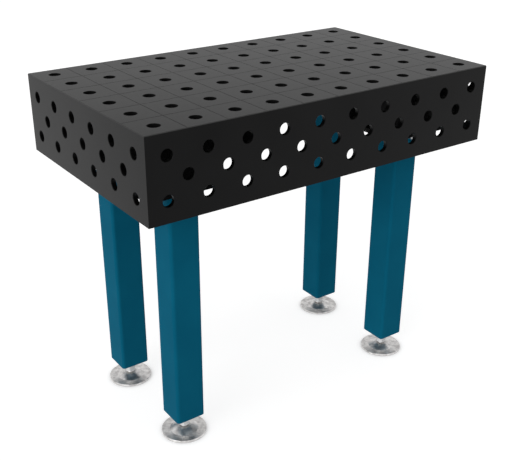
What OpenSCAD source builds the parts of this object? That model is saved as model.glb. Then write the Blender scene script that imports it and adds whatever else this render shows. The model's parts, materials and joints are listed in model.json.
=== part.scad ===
// Welding table: a ribbed steel box with system holes on a grid, carried by four
// bolted-on legs with levelling feet.
// Origin: middle of the floor area. X along the length, Y to the back, Z up. Millimetres.

/* [Table box] */
// Length of the table top
top_l = 1000; // [600:50:2000]
// Width of the table top
top_w = 600; // [600:50:1200]
// Height of the working surface above the floor
table_h = 875; // [700:5:1000]
// Height of the box, from the working surface to the lower edge of its walls
box_h = 200; // [200:10:240]
// Thickness of the top plate
plate_t = 12; // [8:1:16]
// Thickness of the side walls
wall_t = 12; // [8:1:16]
// Chamfer along the outer edges of the working surface
edge_chamfer = 1.5; // [0.5:0.5:3]

/* [System holes] */
// Diameter of a system hole
hole_d = 28; // [16:1:28]
// Distance between neighbouring holes
grid = 100; // [95:1:105]
// Distance from the edge of the top to the first hole, at least
edge_dist = 50; // [45:1:50]
// Height between the hole rows of a wall
row_step = 50; // [46:1:52]
// Chamfer at the mouths of a system hole
hole_chamfer = 1; // [0.5:0.25:1.5]

/* [Engraved grid] */
// Width of a grid line
line_w = 1.2; // [0.6:0.1:2]
// Depth of a grid line
line_d = 0.4; // [0.2:0.1:0.6]

/* [Ribs] */
// Thickness of the ribs
rib_t = 12; // [8:1:14]
// Depth of the box from the working surface to the rib edges over the legs
rib_deep = 160; // [140:5:165]
// The same for the long ribs between the legs
rib_shallow = 110; // [100:5:120]
// The same for the cross ribs
cross_deep = 95; // [70:5:98]
// Radius in the corners where a long rib changes its depth
rib_r = 20; // [5:1:24]
// How far the deep end of a long rib runs on past the cross rib
rib_past = 20; // [15:1:40]
// Play on each side of a half-lap slot
slot_play = 0.25; // [0.1:0.05:0.5]

/* [Leg mounting] */
// Thickness of the mounting plate under the ribs
mount_t = 12; // [8:1:14]
// How far the mounting plate reaches past the ribs on it, at each end along the length
mount_past_l = 31; // [10:1:32]
// The same across the width
mount_past_w = 14; // [10:1:20]
// Thickness of the flange on the leg
flange_t = 12; // [8:1:14]
// Corner radius of the flange
flange_r = 8; // [2:1:12]
// Distance from the leg tube to the bolt line, and from there to the flange edge
bolt_edge = 15; // [14:1:18]
// Diameter of a flange bolt
bolt_d = 12; // [8:1:12]
// Clearance around a bolt in the flange, on the diameter
bolt_play = 1; // [0.5:0.25:1.5]
// Clearance around a bolt in its tapped hole, on the diameter
thread_play = 0.1; // [0.05:0.05:0.15]
// Height of a bolt head
head_h = 7.5; // [5:0.5:8]
// Width across the flats of a bolt head
head_af = 18; // [14:1:19]
// Thickness of a washer
washer_t = 2.5; // [1.5:0.5:3]
// Outer diameter of a washer
washer_d = 24; // [20:1:25]

/* [Legs] */
// Width of the square leg tube
leg_w = 80; // [70:1:90]
// Wall thickness of the leg tube
leg_t = 4; // [3:0.5:6]
// Outer corner radius of the leg tube
leg_r = 8; // [6:1:12]
// Height of the leg's lower end above the floor
leg_lift = 56; // [54:1:70]
// Thickness of the end plate
end_t = 8; // [5:1:12]
// Gap between the end plate and the tube, filled by the weld
end_play = 0.3; // [0.1:0.1:1]
// Outer diameter of the threaded bush
bush_d = 40; // [32:1:50]
// Height of the threaded bush
bush_h = 30; // [20:1:50]

/* [Levelling feet] */
// Diameter of the spindle
spindle_d = 20; // [16:1:22]
// Travel of the foot from its rest place to fully out
travel = 35; // [10:5:50]
// Length of spindle left above the bush when the foot is fully out
spindle_spare = 3; // [1:1:10]
// Chamfer on the tip of the spindle
spindle_chamfer = 1; // [0.5:0.25:2]
// Radial running clearance of the spindle in the bush and the lock nut
run_play = 0.08; // [0.02:0.01:0.1]
// Width across the flats of the spindle's hexagon collar
collar_af = 24; // [23:1:26]
// Height of the hexagon collar
collar_h = 14; // [8:1:16]
// Width across the flats of the lock nut
nut_af = 30; // [27:1:36]
// Height of the lock nut
nut_h = 16; // [10:1:18]
// Gap between the lock nut and the end plate
nut_gap = 0.3; // [0.3:0.05:1]
// Diameter of the foot pad
pad_d = 118; // [100:1:140]
// Thickness of the pad's rim
pad_rim = 6; // [6:0.5:8]
// Diameter of the boss where it meets the flat of the pad
boss_d = 74; // [60:1:90]
// Diameter of the boss at its top
boss_top_d = 34; // [32:1:40]
// Height of the boss's top above the floor
boss_h = 15; // [14.5:0.5:16]
// Chamfer on the rim of the pad
pad_chamfer = 1; // [0.5:0.25:1.5]
// Diameter of the swivel ball
ball_d = 18; // [17.5:0.5:19]
// Height of the ball's centre above the floor
ball_z = 11; // [10.5:0.5:11.5]
// Height of the flat under the ball, below the ball's centre
ball_flat_low = 7; // [6.5:0.5:7.5]
// Height of the flat on top of the ball, above the ball's centre
ball_flat_high = 7.5; // [7:0.5:8]
// Radial clearance of the ball in the pad and of the pin in the ball
ball_play = 0.1; // [0.02:0.01:0.1]
// Diameter of the pin that carries the ball
pin_d = 10; // [8:1:11]
// Diameter of the retaining cap
cap_d = 28; // [26:1:34]
// Play around the retaining cap before it is pressed in
cap_play = 0.05; // [0.02:0.01:0.1]
// How far the retaining cap sits above the floor
cap_lift = 0.8; // [0.5:0.1:1]
// How far the retaining cap reaches up past the flat under the ball
cap_reach = 1; // [0.5:0.25:1.5]
// Gap between the end of the pin and the flat under the ball
pin_gap = 1; // [0.5:0.25:1.5]

/* [Hidden] */
// Tessellation of round forms
$fn = 96;
// Overshoot of a cutting body past the face that it cuts, and of a form into its neighbour
// in the same piece
over = 1;
// Smallest gap between pieces that move on each other
move_gap = 0.3;

CORNERS = [
  ["front_left", -1, -1], ["front_right", 1, -1],
  ["back_left", -1, 1], ["back_right", 1, 1]
];
CORNER_PARTS = [
  "leg_rib", "mounting_plate", "leg_flange", "flange_bolts", "leg_tube", "leg_end_plate",
  "threaded_bush", "foot_spindle", "lock_nut", "swivel_ball", "foot_pad", "retaining_cap"
];

// Colours of the finishes
BURNISHED = [0.17, 0.17, 0.18];
MILL_STEEL = [0.24, 0.24, 0.25];
TEAL = [0.04, 0.35, 0.44];
ZINC = [0.72, 0.73, 0.74];

// System holes: one row of places, centred on the middle of a side
function places(count) = [for (i = [0 : count - 1]) (i - (count - 1) / 2) * grid];
nx = floor((top_l - 2 * edge_dist) / grid) + 1;
ny = floor((top_w - 2 * edge_dist) / grid) + 1;
rows = floor((box_h - row_step / 2) / row_step);

// Heights in the box
plate_under = table_h - plate_t;
box_bottom = table_h - box_h;
rib_low = table_h - rib_deep;
rib_high = table_h - rib_shallow;
cross_low = table_h - cross_deep;
lap_z = (cross_low + plate_under) / 2;
mount_low = rib_low - mount_t;
flange_low = mount_low - flange_t;

// Places of the legs and the ribs: a leg stands under the second hole from each side,
// and the ribs run in the bands that no hole reaches
leg_x = places(nx)[nx - 2];
leg_y = places(ny)[ny - 2];
rib_off = grid * 3 / 4;
long_rib_y = leg_y - rib_off;
leg_rib_y = leg_y + rib_off;
cross_rib_x = leg_x - grid * 5 / 4;
mount_l = 2 * rib_off + rib_t + 2 * mount_past_l;
mount_w = 2 * rib_off + rib_t + 2 * mount_past_w;
arch_half = cross_rib_x - rib_past;
inner_l = top_l - 2 * wall_t;
inner_w = top_w - 2 * wall_t;

// Leg and bolts
bolt_off = leg_w / 2 + bolt_edge;
flange_w = 2 * (bolt_off + bolt_edge);
end_w = leg_w - 2 * leg_t - 2 * end_play;
end_r = leg_r - leg_t - end_play;
bush_low = leg_lift + end_t;

// Foot
ball_r = ball_d / 2;
seat_r = ball_r + ball_play;
ball_low = ball_z - ball_flat_low;
ball_high = ball_z + ball_flat_high;
cap_top = ball_low + cap_reach;
collar_low = ball_high + move_gap;
collar_top = collar_low + collar_h;
nut_top = leg_lift - nut_gap;
spindle_top = bush_low + bush_h + travel + spindle_spare;
pin_low = ball_low + pin_gap;

// --- helpers ---

// Square with round corners, exact arcs
module round_square(w, r) {
  square([w - 2 * r, w], center = true);
  square([w, w - 2 * r], center = true);
  for (sx = [-1, 1], sy = [-1, 1]) translate([sx * (w / 2 - r), sy * (w / 2 - r)]) circle(r);
}

// Hexagonal prism with its corners turned down to a cone at both ends
module hexagon(af, h) {
  corner_r = af / 2 / cos(30);
  drop = (corner_r - af / 2) * tan(30);
  intersection() {
    cylinder(r = corner_r, h = h, $fn = 6);
    rotate_extrude() polygon([
      [0, 0], [af / 2, 0], [corner_r, drop], [corner_r, h - drop], [af / 2, h], [0, h]
    ]);
  }
}

// Cutter for one system hole through a plate that lies from z = 0 to z = t
module system_hole(t) {
  r = hole_d / 2;
  translate([0, 0, -over]) cylinder(r = r, h = t + 2 * over);
  for (side = [0, 1]) translate([0, 0, side * t]) mirror([0, 0, side])
    translate([0, 0, -over]) cylinder(r1 = r + hole_chamfer + over, r2 = r, h = hole_chamfer + over);
}

// --- table box ---

module top_plate() {
  color(BURNISHED) difference() {
    translate([-top_l / 2, -top_w / 2, plate_under]) cube([top_l, top_w, plate_t]);
    for (x = places(nx), y = places(ny)) translate([x, y, plate_under]) system_hole(plate_t);
    for (i = [1 : nx - 1]) grid_line(places(nx)[i] - grid / 2, top_w, 90);
    for (j = [1 : ny - 1]) grid_line(places(ny)[j] - grid / 2, top_l, 0);
    for (side = [0, 180]) rotate(side) {
      edge_cut(top_l, top_w / 2);
      rotate(90) edge_cut(top_w, top_l / 2);
    }
  }
}

// Groove in the working surface: along X at the height of place, or turned by 90 along Y
module grid_line(place, length, turn) {
  shift = turn == 0 ? [0, place, table_h] : [place, 0, table_h];
  translate(shift) rotate(turn) cube([length + 2 * over, line_w, 2 * line_d], center = true);
}

// Prism that takes the chamfer off the front edge of the working surface
module edge_cut(length, reach) {
  translate([0, -reach, table_h]) rotate([45, 0, 0])
    cube([length + 2 * over, edge_chamfer * sqrt(2), edge_chamfer * sqrt(2)], center = true);
}

// Upright wall in its own plane: along X, outer face at y = 0, thickness towards +Y
module side_wall(length, count) {
  color(BURNISHED) difference() {
    translate([-length / 2, 0, box_bottom]) cube([length, wall_t, box_h - plate_t]);
    for (k = [1 : rows]) {
      in_row = k % 2 == 1 ? places(count) : places(count - 1);
      for (x = in_row) translate([x, 0, table_h - k * row_step]) rotate([-90, 0, 0]) system_hole(wall_t);
    }
  }
}

module long_wall(back) { rotate(back ? 180 : 0) translate([0, -top_w / 2, 0]) side_wall(top_l, nx); }
module end_wall(right) { rotate(right ? 90 : -90) translate([0, -top_l / 2, 0]) side_wall(inner_w, ny); }

// Long rib, drawn in its own X-Z plane: deep over the legs, shallow between them,
// with slots from above for the cross ribs
module long_rib(side) {
  color(MILL_STEEL) translate([0, side * long_rib_y + rib_t / 2, 0]) rotate([90, 0, 0])
    linear_extrude(rib_t) difference() {
      translate([-inner_l / 2, rib_low]) square([inner_l, plate_under - rib_low]);
      rib_arch();
      for (s = [-1, 1]) translate([s * cross_rib_x, plate_under]) lap_slot(plate_under - lap_z);
    }
}

// Opening between the deep ends: round inner corners above, rounded-over lower corners
module rib_arch() {
  rise = rib_high - rib_low;
  translate([-arch_half, rib_low - over]) square([2 * arch_half, rise + over - rib_r]);
  translate([-arch_half + rib_r, rib_low]) square([2 * (arch_half - rib_r), rise]);
  for (s = [-1, 1]) {
    translate([s * (arch_half - rib_r), rib_high - rib_r]) circle(rib_r);
    translate([s * arch_half, rib_low]) difference() {
      translate([-rib_r, -over]) square([2 * rib_r, rib_r + over]);
      translate([s * rib_r, rib_r]) circle(rib_r);
    }
  }
}

// Half-lap slot hanging down by depth from the edge at y = 0
module lap_slot(depth) {
  w = rib_t + 2 * slot_play;
  translate([-w / 2, -depth - slot_play]) square([w, depth + slot_play + over]);
}

// Cross rib, drawn in its own Y-Z plane, with slots from below for the long ribs
module cross_rib(side) {
  color(MILL_STEEL) translate([side * cross_rib_x - rib_t / 2, 0, 0]) rotate([90, 0, 90])
    linear_extrude(rib_t) difference() {
      translate([-inner_w / 2, cross_low]) square([inner_w, plate_under - cross_low]);
      for (s = [-1, 1]) translate([s * long_rib_y, cross_low]) mirror([0, 1]) lap_slot(lap_z - cross_low);
    }
}

// --- one corner, drawn for the corner's own leg axis at x = y = 0 ---

// Rib over the leg, from as far inside the leg as the ribs stand apart to the end wall. sx and sy point
// from the table's middle to the corner.
module leg_rib(sx, sy) {
  from_x = -(rib_off + rib_t / 2);
  to_x = inner_l / 2 - leg_x;
  color(MILL_STEEL) mirror([sx < 0 ? 1 : 0, 0, 0]) translate([from_x, sy * rib_off - rib_t / 2, rib_low])
    cube([to_x - from_x, rib_t, plate_under - rib_low]);
}

module mounting_plate() {
  color(MILL_STEEL) difference() {
    translate([0, 0, mount_low + mount_t / 2]) cube([mount_l, mount_w, mount_t], center = true);
    bolt_places() translate([0, 0, mount_low - over]) cylinder(d = bolt_d + thread_play, h = mount_t + 2 * over);
  }
}

module bolt_places() { for (turn = [0 : 90 : 270]) rotate(turn) translate([bolt_off, 0, 0]) children(); }

module leg_flange() {
  color(TEAL) difference() {
    translate([0, 0, flange_low]) linear_extrude(flange_t) round_square(flange_w, flange_r);
    bolt_places() translate([0, 0, flange_low - over]) cylinder(d = bolt_d + bolt_play, h = flange_t + 2 * over);
  }
}

module flange_bolts() {
  color(ZINC) bolt_places() translate([0, 0, flange_low - washer_t]) {
    translate([0, 0, -head_h]) hexagon(head_af, head_h);
    cylinder(d = bolt_d, h = washer_t + flange_t + mount_t);
  }
}

module flange_washers() {
  color(ZINC) for (corner = CORNERS) at_corner(corner)
    bolt_places() translate([0, 0, flange_low - washer_t]) difference() {
      cylinder(d = washer_d, h = washer_t);
      translate([0, 0, -over]) cylinder(d = bolt_d + bolt_play, h = washer_t + 2 * over);
    }
}

module leg_tube() {
  color(TEAL) translate([0, 0, leg_lift]) linear_extrude(flange_low - leg_lift) difference() {
    round_square(leg_w, leg_r);
    round_square(leg_w - 2 * leg_t, leg_r - leg_t);
  }
}

module leg_end_plate() {
  color(TEAL) translate([0, 0, leg_lift]) difference() {
    linear_extrude(end_t) round_square(end_w, end_r);
    translate([0, 0, -over]) cylinder(d = spindle_d + bolt_play, h = end_t + 2 * over);
  }
}

module threaded_bush() {
  color(MILL_STEEL) translate([0, 0, bush_low]) difference() {
    cylinder(d = bush_d, h = bush_h);
    translate([0, 0, -over]) cylinder(r = spindle_d / 2 + run_play, h = bush_h + 2 * over);
  }
}

module foot_spindle() {
  color(ZINC) union() {
    translate([0, 0, pin_low]) cylinder(d = pin_d, h = collar_low + over - pin_low);
    translate([0, 0, collar_low]) hexagon(collar_af, collar_h);
    translate([0, 0, collar_top - over])
      cylinder(d = spindle_d, h = spindle_top - spindle_chamfer - collar_top + over);
    translate([0, 0, spindle_top - spindle_chamfer])
      cylinder(d1 = spindle_d, d2 = spindle_d - 2 * spindle_chamfer, h = spindle_chamfer);
  }
}

module lock_nut() {
  color(ZINC) translate([0, 0, nut_top - nut_h]) difference() {
    hexagon(nut_af, nut_h);
    translate([0, 0, -over]) cylinder(r = spindle_d / 2 + run_play, h = nut_h + 2 * over);
  }
}

// Ball with a flat above and below, bored for the spindle's pin
module swivel_ball() {
  color(ZINC) difference() {
    intersection() {
      translate([0, 0, ball_z]) sphere(ball_r);
      translate([0, 0, ball_low]) cylinder(r = ball_d, h = ball_high - ball_low);
    }
    translate([0, 0, ball_low - over]) cylinder(r = pin_d / 2 + ball_play, h = ball_d + 2 * over);
  }
}

module foot_pad() {
  color(ZINC) difference() {
    rotate_extrude() polygon([
      [0, 0], [pad_d / 2 - pad_chamfer, 0], [pad_d / 2, pad_chamfer],
      [pad_d / 2, pad_rim - pad_chamfer], [pad_d / 2 - pad_chamfer, pad_rim],
      [boss_d / 2, pad_rim], [boss_top_d / 2, boss_h], [0, boss_h]
    ]);
    translate([0, 0, ball_z]) sphere(seat_r);
    translate([0, 0, -over]) cylinder(r = seat_r, h = ball_z + over);
    translate([0, 0, -over]) cylinder(r = cap_d / 2 + cap_play, h = cap_top + over);
  }
}

module retaining_cap() {
  color(ZINC) difference() {
    translate([0, 0, cap_lift]) cylinder(d = cap_d, h = cap_top - cap_lift);
    translate([0, 0, ball_z]) sphere(seat_r);
  }
}

module at_corner(corner) { translate([corner[1] * leg_x, corner[2] * leg_y, 0]) children(); }

// --- assembly ---

top_plate();
long_wall(false);  // front_wall
long_wall(true);  // back_wall
end_wall(false);  // left_end_wall
end_wall(true);  // right_end_wall
long_rib(-1);  // front_long_rib
long_rib(1);  // back_long_rib
cross_rib(-1);  // left_cross_rib
cross_rib(1);  // right_cross_rib
flange_washers();
for (c = CORNERS) {
  at_corner(c) leg_rib(c[1], c[2]);
  at_corner(c) mounting_plate();
  at_corner(c) leg_flange();
  at_corner(c) flange_bolts();
  at_corner(c) leg_tube();
  at_corner(c) leg_end_plate();
  at_corner(c) threaded_bush();
  at_corner(c) foot_spindle();
  at_corner(c) lock_nut();
  at_corner(c) swivel_ball();
  at_corner(c) foot_pad();
  at_corner(c) retaining_cap();
}
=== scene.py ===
# %% [markdown]
# # Dressing a welding table
#
# A welding table is a heavy steel box on four legs. Its plates are drilled with a grid of
# round holes, so that clamps can grip work anywhere on it. The solids of the table come
# ready made, in metres, and stay exactly where they are. This lesson gives them their
# finishes, cuts real threads on the foot spindles, lays the weld beads, and sets up a
# plain bright studio.
#
# Each leg stands on the axis that its spindle turns about, so the joints say where the
# legs are.

# %% Load the solids
import math
import json

import bpy
import bmesh
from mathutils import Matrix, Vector


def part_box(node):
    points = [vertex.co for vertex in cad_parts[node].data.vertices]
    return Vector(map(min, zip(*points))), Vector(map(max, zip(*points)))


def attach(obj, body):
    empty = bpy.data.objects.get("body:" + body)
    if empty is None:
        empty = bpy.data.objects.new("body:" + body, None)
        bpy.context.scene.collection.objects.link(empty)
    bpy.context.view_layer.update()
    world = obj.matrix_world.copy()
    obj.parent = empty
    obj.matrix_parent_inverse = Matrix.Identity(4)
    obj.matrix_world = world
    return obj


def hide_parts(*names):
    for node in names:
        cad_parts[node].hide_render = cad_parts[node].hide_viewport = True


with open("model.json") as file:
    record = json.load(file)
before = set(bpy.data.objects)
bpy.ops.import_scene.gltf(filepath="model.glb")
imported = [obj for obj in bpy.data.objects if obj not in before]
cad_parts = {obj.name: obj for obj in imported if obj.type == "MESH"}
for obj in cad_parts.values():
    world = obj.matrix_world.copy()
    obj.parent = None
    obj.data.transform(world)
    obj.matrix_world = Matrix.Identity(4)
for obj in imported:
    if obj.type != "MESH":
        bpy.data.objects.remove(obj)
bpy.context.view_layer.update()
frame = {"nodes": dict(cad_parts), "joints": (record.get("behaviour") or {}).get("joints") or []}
solids = frame["nodes"]
CORNERS = ("front_left", "front_right", "back_left", "back_right")
spindle_axis = {}
for joint in frame["joints"]:
    if joint["name"].endswith("_spindle_turn"):
        spindle_axis[joint["name"].replace("_spindle_turn", "")] = Vector(joint["pos_m"])
print(len(solids), "solids; legs at", {c: tuple(a[:2]) for c, a in spindle_axis.items()})

# %% [markdown]
# ## The camera
#
# A table shows most of itself from above its top and from the left of its front: the top,
# the front and one end are all in view. A lens longer than the usual 50 mm keeps the upright
# edges nearly parallel. The small shift slides the picture without turning the camera.

# %% Place the camera
camera_data = bpy.data.cameras.new("viewer")
camera_data.sensor_width = 36.0
camera_data.lens = 57.91
camera_data.shift_x = 0.0231
camera_data.shift_y = 0.0138
camera = bpy.data.objects.new("viewer", camera_data)
bpy.context.scene.collection.objects.link(camera)
azimuth, elevation = math.radians(-34.99), math.radians(25.418)
away = Vector((
    math.sin(azimuth) * math.cos(elevation),
    -math.cos(azimuth) * math.cos(elevation),
    math.sin(elevation),
))
camera.location = (-1.2285, -1.6950, 1.3974)
table_middle = Vector((0.0, 0.0, 0.44))
camera.rotation_mode = "QUATERNION"
camera.rotation_quaternion = (-away).to_track_quat("-Z", "Y")
bpy.context.scene.camera = camera
print("camera", round((camera.location - table_middle).length, 2), "m from the table's middle")

# %% [markdown]
# ## Wires that can be added up
#
# Materials and Geometry Nodes are both graphs of small boxes. Building them one box at a
# time hides the formula that they stand for. A small class wraps an output socket and
# overloads the arithmetic operators, so `depth * (1 - mask)` adds its own Math nodes.


# %% Wires
class Wire:
    """An output socket that can be used in arithmetic."""

    def __init__(self, bench, socket):
        self.bench, self.socket = bench, socket

    def math(self, operation, *values):
        return self.bench.add("ShaderNodeMath", {"operation": operation}, dict(enumerate(values)))

    def output(self, name):
        return Wire(self.bench, self.socket.node.outputs[name])

    def __add__(self, other):
        return self.math("ADD", self, other)

    def __sub__(self, other):
        return self.math("SUBTRACT", self, other)

    def __rsub__(self, other):
        return self.math("SUBTRACT", other, self)

    def __mul__(self, other):
        return self.math("MULTIPLY", self, other)

    def __truediv__(self, other):
        return self.math("DIVIDE", self, other)

    def __pow__(self, other):
        return self.math("POWER", self, other)

    __radd__ = __add__
    __rmul__ = __mul__

    def near(self, step):
        """Distance to the nearest multiple of 2 * step, as a folded ruler gives it."""
        return self.math("PINGPONG", self, step)

    def below(self, edge):
        return self.math("LESS_THAN", self, edge)

    def above(self, edge):
        return self.math("GREATER_THAN", self, edge)

    def clamped(self, low, high):
        return self.math("MAXIMUM", self.math("MINIMUM", self, high), low)

    def unsigned(self):
        """The value without its sign."""
        return self.math("ABSOLUTE", self)


print("wires ready")

# %% [markdown]
# ## A bench to build on
#
# Every node comes from one method. It first sets the node's options, because they decide
# which sockets there are, and then fills its inputs with numbers or with wires.


# %% Benches
class Bench:
    """A node tree to build on."""

    def __init__(self, tree):
        self.tree = tree

    def add(self, kind, settings=None, inputs=None, output=0):
        node = self.tree.nodes.new(kind)
        for name, value in (settings or {}).items():
            if name == "stops":
                ramp = node.color_ramp
                while len(ramp.elements) < len(value):
                    ramp.elements.new(0.5)
                for element, (place, colour) in zip(ramp.elements, value):
                    element.position, element.color = place, colour
            else:
                setattr(node, name, value)
        for name, value in (inputs or {}).items():
            if isinstance(value, Wire):
                self.tree.links.new(value.socket, node.inputs[name])
            else:
                node.inputs[name].default_value = value
        return Wire(self, node.outputs[output]) if len(node.outputs) else None


print("benches ready")

# %% [markdown]
# ## Helpers for finishes
#
# Each finish is one Principled shader. The patterns read Object coordinates, which are the
# table's own metres, so a pattern runs on from one plate to the next and moves with a foot
# that moves. Noise at a few scales gives the cloudiness, the grain and the fine bump.


# %% Start a finish
def grey(value):
    return (value, value, value, 1.0)


class Finish(Bench):
    """A material and its tree, with the place on the piece ready at hand."""

    def __init__(self, name):
        self.material = bpy.data.materials.new(name)
        self.material.use_nodes = True
        super().__init__(self.material.node_tree)
        self.tree.nodes.clear()
        place = self.add("ShaderNodeTexCoord", output="Object")
        self.place = place
        parts = self.add("ShaderNodeSeparateXYZ", inputs={0: place})
        self.x, self.y, self.z = parts, parts.output("Y"), parts.output("Z")

    def stretched(self, scale):
        return self.add("ShaderNodeMapping", inputs={"Vector": self.place, "Scale": scale})

    def noise(self, scale, detail, place=None):
        return self.add(
            "ShaderNodeTexNoise",
            inputs={"Vector": place or self.place, "Scale": scale, "Detail": detail},
        )

    def ramp(self, value, stops):
        return self.add("ShaderNodeValToRGB", {"stops": stops}, {0: value})

    def blend(self, factor, first, second):
        return self.add(
            "ShaderNodeMix",
            {"data_type": "RGBA"},
            {0: factor, 6: first, 7: second},
            output=2,
        )

    def bump(self, height, distance, strength):
        return self.add(
            "ShaderNodeBump",
            inputs={"Height": height, "Distance": distance, "Strength": strength},
        )

    def shade(self, **sockets):
        inputs = {name.replace("_", " "): value for name, value in sockets.items()}
        shader = self.add("ShaderNodeBsdfPrincipled", inputs=inputs)
        self.add("ShaderNodeOutputMaterial", inputs={"Surface": shader})
        return self.material


print("finishes can be mixed")

# %% [markdown]
# ## Burnished black plate
#
# The box plates are ground flat and treated until the steel turns black. The skin is thin
# and hard: it shines softly, with faint cloudiness, and long parallel lines that the grinder
# left. A very dark base with a low, satin reflection gives the look.
#
# The bores are cut afterwards. Their walls and chamfers are coloured nearly black: partly the
# oil on them, partly painted shade inside the holes. They are dull in the top, where dust
# settles in them, and keep a soft shine in the upright walls. The bores stand in a grid of
# 100 mm, so a folded ruler finds the nearest one: it counts up to 50 mm and back again, and
# the sum of two squares is the square of the distance to the bore's axis. On a wall every
# other row is moved along by half a step. A bore's mouth is as wide as the bore and its
# chamfer together.

# %% Sizes that the black finish follows
top_low, top_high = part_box("top_plate")
half_grid = 0.05
mouth_radius = 0.0152
line_half_width = 0.0005
line_depth = 0.0006
chamfer = 0.0015
highlight_fade = 0.0006
middle_row = top_high.z - 2 * half_grid
rows_reach = 0.07
print("top", round(2 * top_high.x, 3), "by", round(2 * top_high.y, 3), "m, bores every", 2 * half_grid)

# %% [markdown]
# The top also has an engraved grid, midway between its bores. The same folded rulers find
# its lines, which are a little duller and darker than the plate.
#
# The chamfer round the top is painted a lighter grey, patchy with the grain: a painted
# highlight along the edge, so that it doesn't show as a dark line. On a chamfer the way past
# the edge and the height add up to the same sum everywhere, and on the faces beside it to
# less, so that sum finds it.


# %% Find the engraved lines and the chamfer's painted highlight
def engraved(plate):
    """1 on the engraved lines of the top, 0 elsewhere."""
    nearest = plate.x.math("MINIMUM", plate.x.near(half_grid), plate.y.near(half_grid))
    return nearest.below(line_half_width) * plate.z.above(top_high.z - line_depth)


def chamfer_highlight(plate):
    """Where the highlight is painted: 1 on the chamfer round the top, fading on the faces beside it."""
    past_end = plate.x.unsigned() - top_high.x
    past_side = plate.y.unsigned() - top_high.y
    rim = past_end.math("MAXIMUM", past_end, past_side) + (plate.z - top_high.z)
    return ((rim + (chamfer + highlight_fade)) / highlight_fade).clamped(0.0, 1.0)


print("lines every", 2 * half_grid, "m, chamfer", chamfer, "m")


# %% Mix the burnished black
def burnish(name, rulers, wall_reach=None):
    """The plate finish, for a plate whose bores are found by two rulers.

    rulers takes the finish and gives the two distances along the plate, for a wall from
    its middle row. wall_reach is how far from the middle a wall's bores go, or None for
    the top.
    """
    plate = Finish(name)
    one, other = rulers(plate)
    cloud = plate.noise(7.0, 3.0)
    grain = plate.noise(90.0, 2.0, plate.stretched((0.6, 26.0, 26.0)))
    speck = plate.noise(1400.0, 1.0)
    skin = plate.ramp(cloud, [(0.3, (0.0024, 0.0024, 0.0026, 1)), (0.7, (0.0046, 0.0046, 0.0048, 1))])
    dullness = 0.27 + grain * 0.12
    off_bore = (half_grid - one.near(half_grid)) ** 2.0 + (half_grid - other.near(half_grid)) ** 2.0
    if wall_reach is None:
        bore_oil_and_shade = off_bore.below(mouth_radius ** 2)
        line = engraved(plate)
        skin = plate.blend(line * 0.7, skin, grey(0.001))
        # Painted highlight: the chamfer round the top turns a lighter grey.
        skin = plate.blend(chamfer_highlight(plate) * (0.5 + grain * 0.6), skin, grey(0.055))
        dullness = dullness + line * 0.16 + bore_oil_and_shade * 0.45
    else:
        off_moved = one.near(half_grid) ** 2.0 + other.near(half_grid) ** 2.0
        bore_oil_and_shade = off_bore.math("MINIMUM", off_bore, off_moved).below(mouth_radius ** 2)
        bore_oil_and_shade = bore_oil_and_shade * one.unsigned().below(wall_reach) * other.unsigned().below(rows_reach)
        dullness = dullness + bore_oil_and_shade * 0.12
    return plate.shade(
        # The bores' near-black is partly their oil and partly painted shade inside the holes.
        Base_Color=plate.blend(bore_oil_and_shade, skin, grey(0.0012)),
        Roughness=dullness,
        Specular_IOR_Level=0.115,
        Normal=plate.bump(speck + grain * 0.6, 0.00003, 0.5),
    )


burnished_top = burnish("burnished_top", lambda f: (f.x, f.y))
burnished_long_wall = burnish("burnished_long_wall", lambda f: (f.x, f.z - middle_row), 0.48)
burnished_end_wall = burnish("burnished_end_wall", lambda f: (f.y, f.z - middle_row), 0.28)
print("burnished black, with the middle row of bores at", round(middle_row, 4))

# %% [markdown]
# ## Dark mill steel
#
# The ribs inside the box are laser-cut from hot-rolled plate. Its mill scale is blue-black
# and blotchy, duller than the burnished top, and it isn't coated. Its colours here are darker
# than bare mill scale: they paint the shade inside the box, so that the ribs look black
# through the bores.

# %% Mix the mill steel
mill = Finish("mill_scale_steel")
blotch = mill.noise(24.0, 4.0)
pits = mill.noise(520.0, 2.0)
# Painted shade: these tones are darker than mill scale, for the shade inside the box.
mill_tone_and_shade = mill.ramp(blotch, [
    (0.32, (0.0036, 0.0038, 0.0046, 1)),
    (0.6, (0.006, 0.006, 0.0064, 1)),
    (0.8, (0.0105, 0.0095, 0.0085, 1)),
])
mill_steel = mill.shade(
    Base_Color=mill_tone_and_shade,
    Roughness=0.5 + blotch * 0.2,
    Specular_IOR_Level=0.09,
    Normal=mill.bump(pits, 0.00006, 0.5),
)
print("mill steel mixed")

# %% [markdown]
# ## Teal powder coat
#
# The legs are powder coated after welding. Powder melts into one even colour with a very
# fine pebbled surface, which painters call orange peel. The colour hardly varies, so the
# pebbling is done as a bump and the gloss changes slightly with it.

# %% Mix the powder coat
paint = Finish("teal_powder_coat")
pebble = paint.noise(620.0, 1.0)
drift = paint.noise(9.0, 2.0)
teal = paint.ramp(drift, [(0.3, (0.003, 0.109, 0.188, 1)), (0.7, (0.0038, 0.124, 0.208, 1))])
teal_powder_coat = paint.shade(
    Base_Color=teal,
    Roughness=0.42 + pebble * 0.14,
    Specular_IOR_Level=0.01,
    Normal=paint.bump(pebble, 0.00005, 0.6),
)
print("powder coat mixed")

# %% [markdown]
# ## Turned zinc
#
# Each foot is turned on a lathe and zinc plated. The tool leaves fine rings round the foot's
# own axis. All four feet stand at the same distance from the middle planes, so folding X and
# Y by their absolute values puts every foot on one pattern. On the wide pads the plating is
# clouded, with dull and bright patches; on spindles and nuts it is more even.


# %% Mix the turned zinc
foot_x, foot_y = abs(spindle_axis["front_left"].x), abs(spindle_axis["front_left"].y)


def from_foot(finish):
    """Distance from the nearest foot's own axis."""
    off_x = finish.x.unsigned() - foot_x
    off_y = finish.y.unsigned() - foot_y
    return (off_x * off_x + off_y * off_y) ** 0.5


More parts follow.
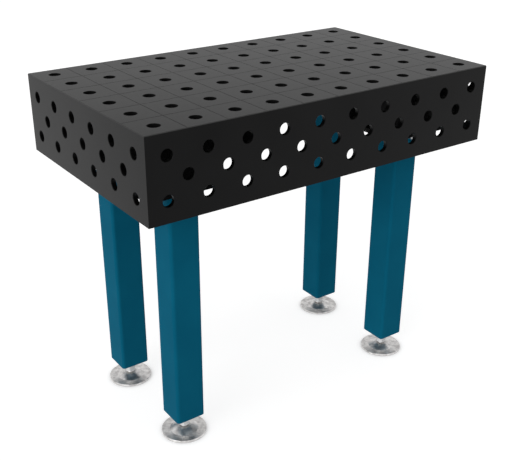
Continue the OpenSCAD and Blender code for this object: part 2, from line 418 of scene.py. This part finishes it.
def zinc_plate(name, haze_scale, tones, dullness):
    """Turned and plated metal, with the lathe's rings and patches of the given tones."""
    zinc = Finish(name)
    rings = zinc.add(
        "ShaderNodeTexNoise",
        {"noise_dimensions": "1D"},
        {"W": from_foot(zinc), "Scale": 2600.0, "Detail": 2.0},
    )
    haze = zinc.noise(haze_scale, 5.0)
    return zinc.shade(
        Base_Color=zinc.ramp(haze, tones),
        Metallic=1.0,
        Roughness=dullness + haze * 0.17,
        Normal=zinc.bump(rings, 0.00004, 0.35),
    )


turned_zinc = zinc_plate("turned_zinc", 60.0, [
    (0.3, (0.68, 0.665, 0.655, 1)),
    (0.7, (0.82, 0.805, 0.79, 1)),
], 0.22)
clouded_zinc = zinc_plate("clouded_zinc", 85.0, [
    (0.34, (0.53, 0.515, 0.51, 1)),
    (0.5, (0.7, 0.688, 0.68, 1)),
    (0.66, (0.86, 0.845, 0.83, 1)),
], 0.26)
print("turned zinc rings at", round(foot_x, 3), round(foot_y, 3))

# %% [markdown]
# ## Fasteners and welds
#
# Bolts and washers are plated too, but not turned: a softer, slightly uneven shine. Weld
# metal is bare steel, dark with a blue and straw tint where the heat was.

# %% Mix the fastener zinc and the weld metal
dull = Finish("dull_zinc")
patch = dull.noise(180.0, 3.0)
dull_zinc = dull.shade(
    Base_Color=dull.ramp(patch, [(0.3, (0.42, 0.43, 0.44, 1)), (0.7, (0.56, 0.565, 0.56, 1))]),
    Metallic=1.0,
    Roughness=0.32 + patch * 0.18,
)
bead = Finish("weld_metal")
heat = bead.noise(70.0, 3.0)
heat_tint = bead.ramp(heat, [
    (0.3, (0.05, 0.055, 0.075, 1)),
    (0.55, (0.09, 0.085, 0.085, 1)),
    (0.75, (0.13, 0.105, 0.08, 1)),
])
weld_metal = bead.shade(
    Base_Color=heat_tint,
    Metallic=0.7,
    Roughness=0.38 + heat * 0.2,
)
print("fastener zinc and weld metal mixed")

# %% [markdown]
# ## Hand out the finishes
#
# A solid keeps its mesh and only gets a material. The last words of its name say what it
# is. The first ending in the list that fits is taken, so `end_wall` stands before `wall`.

# %% Give each solid its finish
finish_of = {
    "top_plate": burnished_top,
    "end_wall": burnished_end_wall,
    "wall": burnished_long_wall,
    "rib": mill_steel,
    "mounting_plate": mill_steel,
    "threaded_bush": mill_steel,
    "leg_flange": teal_powder_coat,
    "leg_tube": teal_powder_coat,
    "leg_end_plate": teal_powder_coat,
    "flange_bolts": dull_zinc,
    "flange_washers": dull_zinc,
    "foot_spindle": turned_zinc,
    "lock_nut": turned_zinc,
    "swivel_ball": turned_zinc,
    "foot_pad": clouded_zinc,
    "retaining_cap": clouded_zinc,
}
for name, solid in solids.items():
    ending = next(e for e in finish_of if name.endswith(e))
    solid.data.materials.clear()
    solid.data.materials.append(finish_of[ending])
print("finishes given to", len(solids), "solids")

# %% [markdown]
# ## Running a Geometry Nodes recipe
#
# Weld ripples and threads follow a rule, so Geometry Nodes make them. A recipe is a tree
# with named inputs for its sizes. The helper below puts it on a sketch, sets the inputs by
# their identifiers, keeps the evaluated result as a plain mesh, and drops the modifier.


# %% Recipe helpers
KINDS = {
    "float": "NodeSocketFloat",
    "int": "NodeSocketInt",
    "vector": "NodeSocketVector",
    "material": "NodeSocketMaterial",
    "geometry": "NodeSocketGeometry",
}


class Recipe(Bench):
    """A Geometry Nodes tree with named inputs."""

    def __init__(self, name, **inputs):
        super().__init__(bpy.data.node_groups.new(name, "GeometryNodeTree"))
        self.tree.interface.new_socket("Geometry", in_out="OUTPUT", socket_type=KINDS["geometry"])
        self.tree.interface.new_socket("Sketch", in_out="INPUT", socket_type=KINDS["geometry"])
        for label, kind in inputs.items():
            self.tree.interface.new_socket(label, in_out="INPUT", socket_type=KINDS[kind])
        self.inputs = self.add("NodeGroupInput")

    def given(self, label):
        return self.inputs.output(label)

    def serve(self, geometry):
        self.add("NodeGroupOutput", inputs={0: geometry})


def make(recipe, name, sketch, **values):
    """Run a recipe on a sketch mesh and return the result as an object with a plain mesh."""
    holder = bpy.data.objects.new(name + "_sketch", sketch)
    bpy.context.scene.collection.objects.link(holder)
    modifier = holder.modifiers.new("recipe", "NODES")
    modifier.node_group = recipe.tree
    for item in recipe.tree.interface.items_tree:
        if item.item_type == "SOCKET" and item.in_out == "INPUT" and item.name in values:
            modifier[item.identifier] = values[item.name]
    depsgraph = bpy.context.evaluated_depsgraph_get()
    mesh = bpy.data.meshes.new_from_object(holder.evaluated_get(depsgraph), depsgraph=depsgraph)
    bpy.data.objects.remove(holder)
    piece = bpy.data.objects.new(name, mesh)
    mesh.name = name
    bpy.context.scene.collection.objects.link(piece)
    print(name, len(mesh.polygons), "faces")
    return piece


# %% [markdown]
# ## Threaded spindles
#
# The foot is raised and lowered by a coarse M20 thread, 2.5 mm a turn. A thread is a groove
# on a helix. One sheet of quads does it: each row of the sheet goes once round the shaft and
# climbs by one pitch. Four rows make one profile: crest, flank, root and flank. The start of
# a row meets the end of the row four below it, and the two are merged.
#
# Across the sheet, X is the way round the shaft, and Y counts the rows. Clamping the height
# cuts both ends square, and the first and the last row shrink to the axis and close them.

# %% The thread recipe
ROWS_A_PITCH = 4
thread = Recipe(
    "cut thread", Axis="vector", Bottom="float", Top="float", Radius="float",
    Pitch="float", Depth="float", Chamfer="float", Rows="int", Finish="material",
)
sheet = thread.add(
    "GeometryNodeMeshGrid",
    inputs={"Size X": 1.0, "Size Y": 1.0, "Vertices X": 49, "Vertices Y": thread.given("Rows")},
)
across = thread.add("ShaderNodeSeparateXYZ", inputs={0: thread.add("GeometryNodeInputPosition")})
turn = across + 0.5
row = (across.output("Y") + 0.5) * (thread.given("Rows") - 1.0)
row = row.math("ROUND", row)
bottom, top, pitch = thread.given("Bottom"), thread.given("Top"), thread.given("Pitch")
height = (bottom + pitch * (row / ROWS_A_PITCH - 1.0 + turn)).clamped(bottom, top)
wave = ((height - bottom) / pitch - turn - 0.125) * 2.0
groove = ((wave.near(1.0) - 0.25) * 2.0).clamped(0.0, 1.0)
reach = thread.given("Radius") - thread.given("Depth") * groove
lead_in = thread.given("Radius") - thread.given("Chamfer") + (top - height)
reach = reach.math("MINIMUM", reach, lead_in) * row.above(0.5) * row.below(thread.given("Rows") - 1.5)
angle = turn * math.tau
ringed = thread.add("ShaderNodeCombineXYZ", inputs={
    0: reach * angle.math("COSINE", angle), 1: reach * angle.math("SINE", angle), 2: height,
})
placed = thread.add("ShaderNodeVectorMath", {"operation": "ADD"}, {0: ringed, 1: thread.given("Axis")})
cut = thread.add("GeometryNodeSetPosition", inputs={"Geometry": sheet, "Position": placed})
cut = thread.add("GeometryNodeMergeByDistance", inputs={"Geometry": cut, "Distance": 0.00001})
cut = thread.add("GeometryNodeSetShadeSmooth", inputs={"Geometry": cut, "Shade Smooth": True})
cut = thread.add("GeometryNodeRealizeInstances", inputs={"Geometry": cut})
cut = thread.add("GeometryNodeSetMaterial", inputs={"Geometry": cut, "Material": thread.given("Finish")})
thread.serve(cut)
print("thread recipe has", len(thread.tree.nodes), "nodes")

# %% [markdown]
# The solid spindle has a pin below, a hexagon collar, and a plain shaft. Its collar and pin
# are kept as they are: a copy of its mesh is cut just above the collar, and the threaded
# shaft takes over from there. What stands further from the axis than the shaft is collar.

# %% Find the collar
shaft_limit = 0.0115
spindle_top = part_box("front_left_foot_spindle")[1].z
collar_points = [
    v.co for v in solids["front_left_foot_spindle"].data.vertices
    if (v.co - spindle_axis["front_left"]).xy.length > shaft_limit
]
collar_width = 2 * max((p - spindle_axis["front_left"]).xy.length for p in collar_points)
collar_top = max(p.z for p in collar_points)
print("collar", round(collar_width * 1000, 1), "mm across corners, top at", round(collar_top * 1000, 2))


# %% Cut and join meshes
def lower_part(solid, height):
    """A copy of a solid's mesh up to a height, closed there."""
    shell = bmesh.new()
    shell.from_mesh(solid.data)
    bmesh.ops.remove_doubles(shell, verts=shell.verts, dist=0.000001)
    geometry = shell.verts[:] + shell.edges[:] + shell.faces[:]
    sliced = bmesh.ops.bisect_plane(
        shell, geom=geometry, plane_co=(0, 0, height), plane_no=(0, 0, 1), clear_outer=True,
    )
    rim = [e for e in sliced["geom_cut"] if isinstance(e, bmesh.types.BMEdge)]
    bmesh.ops.contextual_create(shell, geom=rim)
    part = bpy.data.meshes.new(solid.name + "_lower_part")
    shell.to_mesh(part)
    shell.free()
    return part


def add_flat(piece, part):
    """Add a mesh to a piece, with flat faces and the piece's own material."""
    joined = bmesh.new()
    joined.from_mesh(piece.data)
    smooth_until = len(joined.faces)
    joined.from_mesh(part)
    joined.faces.ensure_lookup_table()
    for face in joined.faces[smooth_until:]:
        face.smooth = False
        face.material_index = 0
    joined.to_mesh(piece.data)
    joined.free()


print("meshes can be cut at a height and joined")

# %% [markdown]
# A short stump of plain shaft is left above the collar, and the threaded shaft starts inside
# it, so that no gap shows. The sheet has one pitch of rows to spare below the shaft and one
# above it, and its two closing rows.

# %% Cut the threads
thread_sizes = {"Radius": 0.00995, "Pitch": 0.0025, "Depth": 0.0014, "Chamfer": 0.0012}
stump = 0.0004
cut_at = collar_top + stump
shaft_foot = cut_at - stump / 2
pitches = (spindle_top - shaft_foot) / thread_sizes["Pitch"]
rows = math.ceil(pitches * ROWS_A_PITCH) + 2 * ROWS_A_PITCH + 2
for corner in CORNERS:
    axis = Vector((spindle_axis[corner].x, spindle_axis[corner].y, 0.0))
    shaft = make(
        thread, corner + "_threaded_spindle", bpy.data.meshes.new("blank"),
        Axis=axis, Bottom=shaft_foot, Top=spindle_top, Rows=rows, Finish=turned_zinc,
        **thread_sizes,
    )
    add_flat(shaft, lower_part(solids[corner + "_foot_spindle"], cut_at))
    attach(shaft, corner + "_screw")
    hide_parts(corner + "_foot_spindle")

# %% [markdown]
# ## Weld beads
#
# A weld bead is a row of overlapping ripples, each one a frozen pool. The seams are drawn as
# plain edges between the plates. The recipe walks along each seam in steps of one ripple and
# sets a ball at every step, half sunk in the corner, shortened along the seam, with small
# seeded differences in size.

# %% The bead recipe
beads = Recipe(
    "weld bead", Radius="float", Ripple="float", Seed="int", Finish="material",
)
seam = beads.add("GeometryNodeMeshToCurve", inputs={0: beads.given("Sketch")})
seam = beads.add(
    "GeometryNodeResampleCurve", {"mode": "LENGTH"},
    {"Curve": seam, "Length": beads.given("Ripple")},
)
along = beads.add("GeometryNodeInputTangent")
lie = beads.add("FunctionNodeAlignEulerToVector", {"axis": "Z"}, {"Vector": along})
pool = beads.add(
    "GeometryNodeMeshUVSphere",
    inputs={"Segments": 8, "Rings": 5, "Radius": beads.given("Radius")},
)
size = beads.add(
    "FunctionNodeRandomValue", {"data_type": "FLOAT"},
    {2: 0.9, 3: 1.1, "Seed": beads.given("Seed")}, output=1,
)
squash = beads.add("ShaderNodeCombineXYZ", inputs={0: size, 1: size, 2: size * 0.75})
laid = beads.add("GeometryNodeInstanceOnPoints", inputs={
    "Points": seam, "Instance": pool, "Rotation": lie, "Scale": squash,
})
laid = beads.add("GeometryNodeRealizeInstances", inputs={"Geometry": laid})
laid = beads.add("GeometryNodeSetShadeSmooth", inputs={"Geometry": laid, "Shade Smooth": True})
laid = beads.add("GeometryNodeSetMaterial", inputs={"Geometry": laid, "Material": beads.given("Finish")})
beads.serve(laid)
print("bead recipe has", len(beads.tree.nodes), "nodes")

# %% [markdown]
# The seams come from the solids' own boxes. Long seams are not welded through: a welder
# sets short stitches, which pull the plates less. Upright corners get one run each.


# %% Ways to draw a seam
def stitches(start, end, length=0.04, step=0.1):
    """Short runs, evenly spaced and centred on a line from start to end."""
    start, end = Vector(start), Vector(end)
    total = (end - start).length
    count = max(1, int((total - length) / step) + 1)
    way = (end - start).normalized()
    first = (total - (count - 1) * step) / 2
    return [
        (start + way * (first + i * step - length / 2), start + way * (first + i * step + length / 2))
        for i in range(count)
    ]


def upright(x, y, low, high):
    """One run up a corner."""
    return Vector((x, y, low)), Vector((x, y, high))


def sketch_of(name, runs):
    """A mesh of one edge for each run."""
    mesh = bpy.data.meshes.new(name)
    points = [p for run in runs for p in run]
    mesh.from_pydata(points, [(2 * i, 2 * i + 1) for i in range(len(runs))], [])
    return mesh


print("a stitch is 40 mm of every 100 mm")

# %% Draw the seams of the walls and ribs
inner_low, inner_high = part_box("front_wall")[1].y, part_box("back_wall")[0].y
left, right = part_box("left_end_wall")[1].x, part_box("right_end_wall")[0].x
under = top_low.z
wall_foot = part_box("front_wall")[0].z
long_ribs = [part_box(name) for name in ("front_long_rib", "back_long_rib")]
runs = []
for y in (inner_low, inner_high):
    runs += stitches((left, y, under), (right, y, under))
for x in (left, right):
    runs += stitches((x, inner_low, under), (x, inner_high, under))
    for y in (inner_low, inner_high):
        runs.append(upright(x, y, wall_foot + 0.02, under - 0.01))
for low, high in long_ribs:
    for y in (low.y, high.y):
        runs += stitches((left, y, under), (right, y, under))
        for x in (left, right):
            runs.append(upright(x, y, low.z + 0.015, low.z + 0.065))
for name in ("left_cross_rib", "right_cross_rib"):
    low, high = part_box(name)
    faces_y = [inner_low, inner_high] + [corner.y for rib in long_ribs for corner in rib]
    for x in (low.x, high.x):
        runs += stitches((x, inner_low, under), (x, inner_high, under))
        for y in faces_y:
            runs.append(upright(x, y, low.z + 0.01, low.z + 0.05))
print(len(runs), "runs of weld inside the box")

# %% [markdown]
# Over each leg the ribs stand on a mounting plate, and one short rib ties it to the end wall.
# The stitches there are longer and closer, because the leg pulls on them.

# %% Add the seams over the legs and lay the beads
for corner in CORNERS:
    plate_low, plate_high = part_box(corner + "_mounting_plate")
    rib_low, rib_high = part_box(corner + "_leg_rib")
    long_low, long_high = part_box(corner.split("_")[0] + "_long_rib")
    inner = min(rib_low.y, rib_high.y, key=abs)
    outer = max(long_low.y, long_high.y, key=abs)
    seat = plate_high.z
    start_x, end_x = max(plate_low.x, rib_low.x), min(plate_high.x, rib_high.x)
    runs += stitches((start_x, inner, seat), (end_x, inner, seat), 0.05, 0.09)
    for y in (rib_low.y, rib_high.y):
        runs += stitches((rib_low.x, y, under), (rib_high.x, y, under))
    runs += stitches((plate_low.x, outer, seat), (plate_high.x, outer, seat), 0.05, 0.09)
box_welds = make(
    beads, "box_weld_beads", sketch_of("box_seams", runs),
    Radius=0.0038, Ripple=0.0034, Seed=4, Finish=weld_metal,
)
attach(box_welds, "table")

# %% [markdown]
# Each leg is welded all round to its flange, and the plate at its lower end is welded into
# the tube. Both seams are under the paint, so they are teal.


# %% Ways to weld all round
def rounded_ring(axis, height, half, radius, arc=5):
    """Points of a level square with round corners, in order round an upright axis."""
    ring = []
    for quarter in range(4):
        start = quarter * math.pi / 2
        corner_x = (half - radius) * (1 if quarter in (0, 3) else -1)
        corner_y = (half - radius) * (1 if quarter in (0, 1) else -1)
        for i in range(arc + 1):
            a = start + i / arc * math.pi / 2
            ring.append((
                axis.x + corner_x + radius * math.cos(a),
                axis.y + corner_y + radius * math.sin(a),
                height,
            ))
    return ring


def weld_round(name, rings, **sizes):
    """Painted beads along closed rings, as one piece on the table."""
    points, edges = [], []
    for ring in rings:
        first = len(points)
        points += ring
        edges += [(first + i, first + (i + 1) % len(ring)) for i in range(len(ring))]
    seams = bpy.data.meshes.new(name + "_seams")
    seams.from_pydata(points, edges, [])
    welds = make(beads, name, seams, Finish=teal_powder_coat, **sizes)
    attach(welds, "table")


print("rings of", len(rounded_ring(Vector(), 0.0, 1.0, 0.1)), "points")

# %% Weld the legs
tube_round = 0.008
end_plate_round = 0.004
flange_rings, end_rings = [], []
for corner in CORNERS:
    tube_low, tube_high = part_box(corner + "_leg_tube")
    plate_low, plate_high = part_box(corner + "_leg_end_plate")
    axis = spindle_axis[corner]
    tube_half = (tube_high.x - tube_low.x) / 2
    joint_half = (plate_high.x - plate_low.x) / 2 + 0.0002
    flange_rings.append(rounded_ring(axis, tube_high.z - 0.0005, tube_half, tube_round))
    end_rings.append(rounded_ring(axis, tube_low.z + 0.0006, joint_half, end_plate_round))
weld_round("leg_weld_beads", flange_rings, Radius=0.0042, Ripple=0.0034, Seed=7)
weld_round("end_plate_weld_beads", end_rings, Radius=0.0012, Ripple=0.0018, Seed=9)

# %% [markdown]
# ## The studio
#
# The Standard view shows a colour as it is written, without a film-like curve.
#
# Floor and sky look white but light the table only as much as an ordinary pale room does.
# Light Path tells the two apart: a camera, a gloss or a glass looks at a thing, and every
# other ray gathers light from it.


# %% Tell looking from lighting
def looks(bench):
    """1 for a camera's rays, and 1 for the rays of a camera, a gloss or a glass."""
    camera_ray = bench.add("ShaderNodeLightPath", output="Is Camera Ray")
    any_look = camera_ray.math("MAXIMUM", camera_ray, camera_ray.output("Is Glossy Ray"))
    any_look = any_look.math("MAXIMUM", any_look, camera_ray.output("Is Transmission Ray"))
    return camera_ray, any_look


bpy.context.scene.view_settings.view_transform = "Standard"
print("view:", bpy.context.scene.view_settings.view_transform)

# %% [markdown]
# Looked at, the floor glows nearly white and keeps the table's soft shadow. Ambient
# Occlusion over a few centimetres darkens it where a foot stands on it, and nowhere else.
# From below the floor is clear, so that the ribs can be looked at.

# %% Mix the floor
patch_radius = 0.09
contact_reach = 0.06
contact_fade = 0.025
ground = Finish("pale_floor")
camera_ray, any_look = looks(ground)
by_foot = ((patch_radius - from_foot(ground)) / contact_fade).clamped(0.0, 1.0)
open_sky = ground.add(
    "ShaderNodeAmbientOcclusion", {"samples": 8},
    {"Distance": contact_reach}, output="AO",
)
strength = 0.6 + camera_ray * (0.15 - (1.0 - open_sky) * by_foot * 0.75)
glow = ground.add("ShaderNodeEmission", inputs={"Color": grey(1.0), "Strength": strength})
shadowed = ground.add("ShaderNodeBsdfDiffuse", inputs={"Color": grey(0.5)})
bright = ground.add("ShaderNodeAddShader", inputs={0: glow, 1: shadowed})
plain = ground.add("ShaderNodeBsdfDiffuse", inputs={"Color": grey(0.75)})
from_above = ground.add("ShaderNodeMixShader", inputs={0: any_look, 1: plain, 2: bright})
from_below = ground.add("ShaderNodeBsdfTransparent")
below = ground.add("ShaderNodeNewGeometry", output="Backfacing")
either = ground.add("ShaderNodeMixShader", inputs={0: below, 1: from_above, 2: from_below})
ground.add("ShaderNodeOutputMaterial", inputs={"Surface": either})
print("pale floor mixed")

# %% [markdown]
# A foot that is screwed out lifts a real table. Here the table keeps its height, so the
# floor gives way instead: it is laid in four quarters, and each goes down with its own foot.
# Round each foot the quarter has a round hole, closed by a patch that also tilts with the
# pad. At rest the eight pieces lie flush and show no joint.


# %% A way to lay floor
def lay(name, points, faces, body):
    """A level piece of floor that moves with a body."""
    mesh = bpy.data.meshes.new(name)
    mesh.from_pydata([(x, y, floor_height) for x, y in points], [], faces)
    mesh.materials.append(ground.material)
    piece = bpy.data.objects.new(name, mesh)
    bpy.context.scene.collection.objects.link(piece)
    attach(piece, body)


def reach_to(ends, start, way):
    """How far from start a way goes until it meets the end that it heads for."""
    return (ends[way > 0] - start) / way if abs(way) > 1e-9 else math.inf


floor_height = -0.0005
floor_reach = 9.0
print("floor", 2 * floor_reach, "m wide, just below the pads")

# %% [markdown]
# Each quarter is one ring of faces. Its inner points stand on the round hole, and its outer
# points on the quarter's border, straight out from them. The four corners of the border are
# added to the even turns, so that the ring has them too.

# %% Lay the floor
sides = 48
for corner in CORNERS:
    foot = spindle_axis[corner]
    x_ends = sorted((0.0, math.copysign(floor_reach, foot.x)))
    y_ends = sorted((0.0, math.copysign(floor_reach, foot.y)))
    turns = [math.tau * i / sides for i in range(sides)]
    turns += [math.atan2(y - foot.y, x - foot.x) % math.tau for x in x_ends for y in y_ends]
    inner, outer = [], []
    for turn in sorted(turns):
        way_x, way_y = math.cos(turn), math.sin(turn)
        reach = min(reach_to(x_ends, foot.x, way_x), reach_to(y_ends, foot.y, way_y))
        inner.append((foot.x + way_x * patch_radius, foot.y + way_y * patch_radius))
        outer.append((foot.x + way_x * reach, foot.y + way_y * reach))
    count = len(inner)
    ring = [(i, count + i, count + (i + 1) % count, (i + 1) % count) for i in range(count)]
    lay(corner + "_floor_quarter", inner + outer, ring, corner + "_ball")
    lay(corner + "_floor_patch", inner, [tuple(range(count))], corner + "_foot")
print("floor laid in", 2 * len(CORNERS), "pieces")

# %% [markdown]
# The sky does the same as the floor: white to look at, softer as a light. A gloss sees it
# fade above the horizon, faster from a quarter of the way up, and a wide softbox overhead.
# That fade gives the black top its darker near corner, and the softbox lights the feet.

# %% Hang the sky
world = bpy.data.worlds.new("white_room")
bpy.context.scene.world = world
world.use_nodes = True
world.node_tree.nodes.clear()
sky = Bench(world.node_tree)
camera_ray, any_look = looks(sky)
way = sky.add("ShaderNodeTexCoord", output="Generated")
rise = sky.add("ShaderNodeSeparateXYZ", inputs={0: way}).output("Z").clamped(0.0, 1.0)
fade = rise * 0.7 + ((rise - 0.26) * 3.5).clamped(0.0, 0.3)
softbox = ((rise - 0.45) * 3.0).clamped(0.0, 0.95)
white = camera_ray * 0.45 + (any_look - camera_ray) * (0.52 - fade + softbox)
dome = sky.add("ShaderNodeBackground", inputs={"Color": grey(1.0), "Strength": 0.55 + white})
sky.add("ShaderNodeOutputWorld", inputs={"Surface": dome})
print("sky ready")

# %% [markdown]
# A large soft lamp far to the left models the legs: their left faces come out a little
# brighter than the front ones. A sun lamp with a wide angle does that, and it lights the
# near legs and the far ones alike.

# %% The lamp
key_data = bpy.data.lights.new("key_lamp", "SUN")
key_data.energy = 1.35
key_data.angle = math.radians(50)
key = bpy.data.objects.new("key_lamp", key_data)
key.rotation_mode = "QUATERNION"
key.rotation_quaternion = Vector((0.9, 0.27, -0.3)).to_track_quat("-Z", "Y")
bpy.context.scene.collection.objects.link(key)
print("one lamp, from the left")
